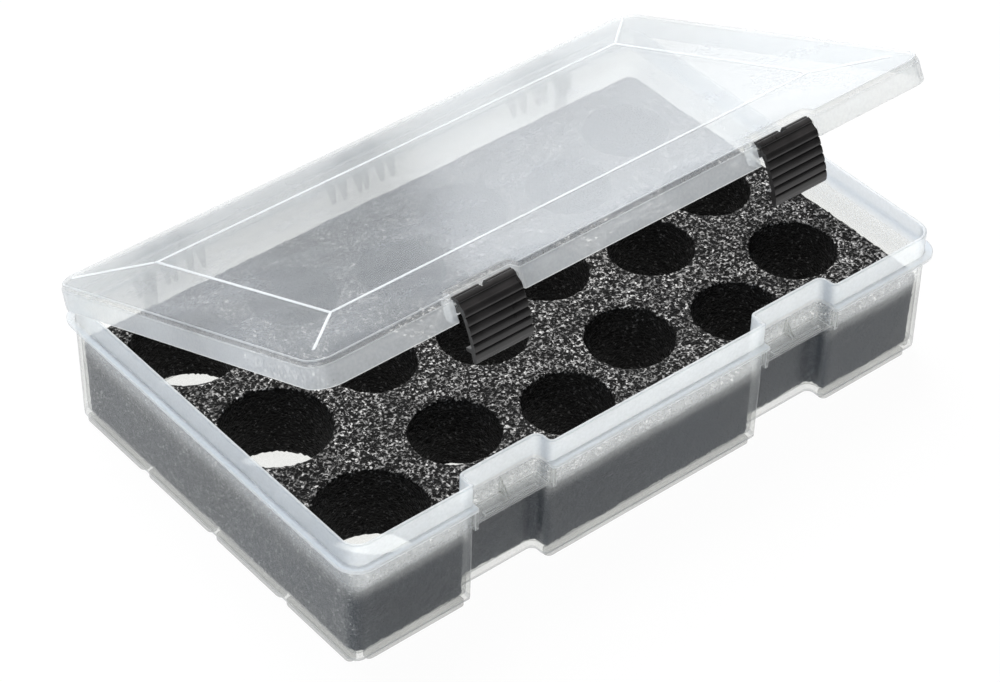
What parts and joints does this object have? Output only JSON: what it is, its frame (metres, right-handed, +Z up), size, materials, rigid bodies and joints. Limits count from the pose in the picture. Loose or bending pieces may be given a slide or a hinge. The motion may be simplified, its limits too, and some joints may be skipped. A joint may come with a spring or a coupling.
{
  "type": "miniature carry case",
  "caption": "Shallow clear plastic case with a hinged lid, two snap latches on the front and a black foam insert with round wells for painted miniatures.",
  "frame": {"origin": "middle of the bounding box's underside, on the surface that the feet stand on", "axes": "+X to the right along the long side, latches face -Y, +Z up"},
  "size_m": [0.35, 0.2322, 0.1631],
  "materials": {
    "tray_plastic": "clear natural polypropylene, slightly milky, fine moulded gloss",
    "lid_plastic": "clear natural polypropylene, slightly milky, fine moulded gloss",
    "latch_plastic": "satin black polypropylene with moulded grip ridges",
    "foam": "open-cell black foam with a fine sparkling grain"
  },
  "bodies": {
    "case_base": {"tray": "tray_plastic", "foam_insert": "foam"},
    "case_lid": {"lid": "lid_plastic"},
    "left_latch": {"latch_left": "latch_plastic"},
    "right_latch": {"latch_right": "latch_plastic"}
  },
  "joints": [
    {"name": "lid_hinge", "type": "hinge", "parent": "case_base", "child": "case_lid", "pos_m": [0, 0.11191, 0.064], "axis": [-1, 0, 0], "range_deg": [-23.35, 86.65]},
    {"name": "left_latch_pivot", "type": "hinge", "parent": "case_lid", "child": "left_latch", "pos_m": [-0.085, -0.09178, 0.15607], "axis": [-1, 0, 0], "range_deg": [0, 100]},
    {"name": "right_latch_pivot", "type": "hinge", "parent": "case_lid", "child": "right_latch", "pos_m": [0.085, -0.09178, 0.15607], "axis": [-1, 0, 0], "range_deg": [0, 100]}
  ]
}
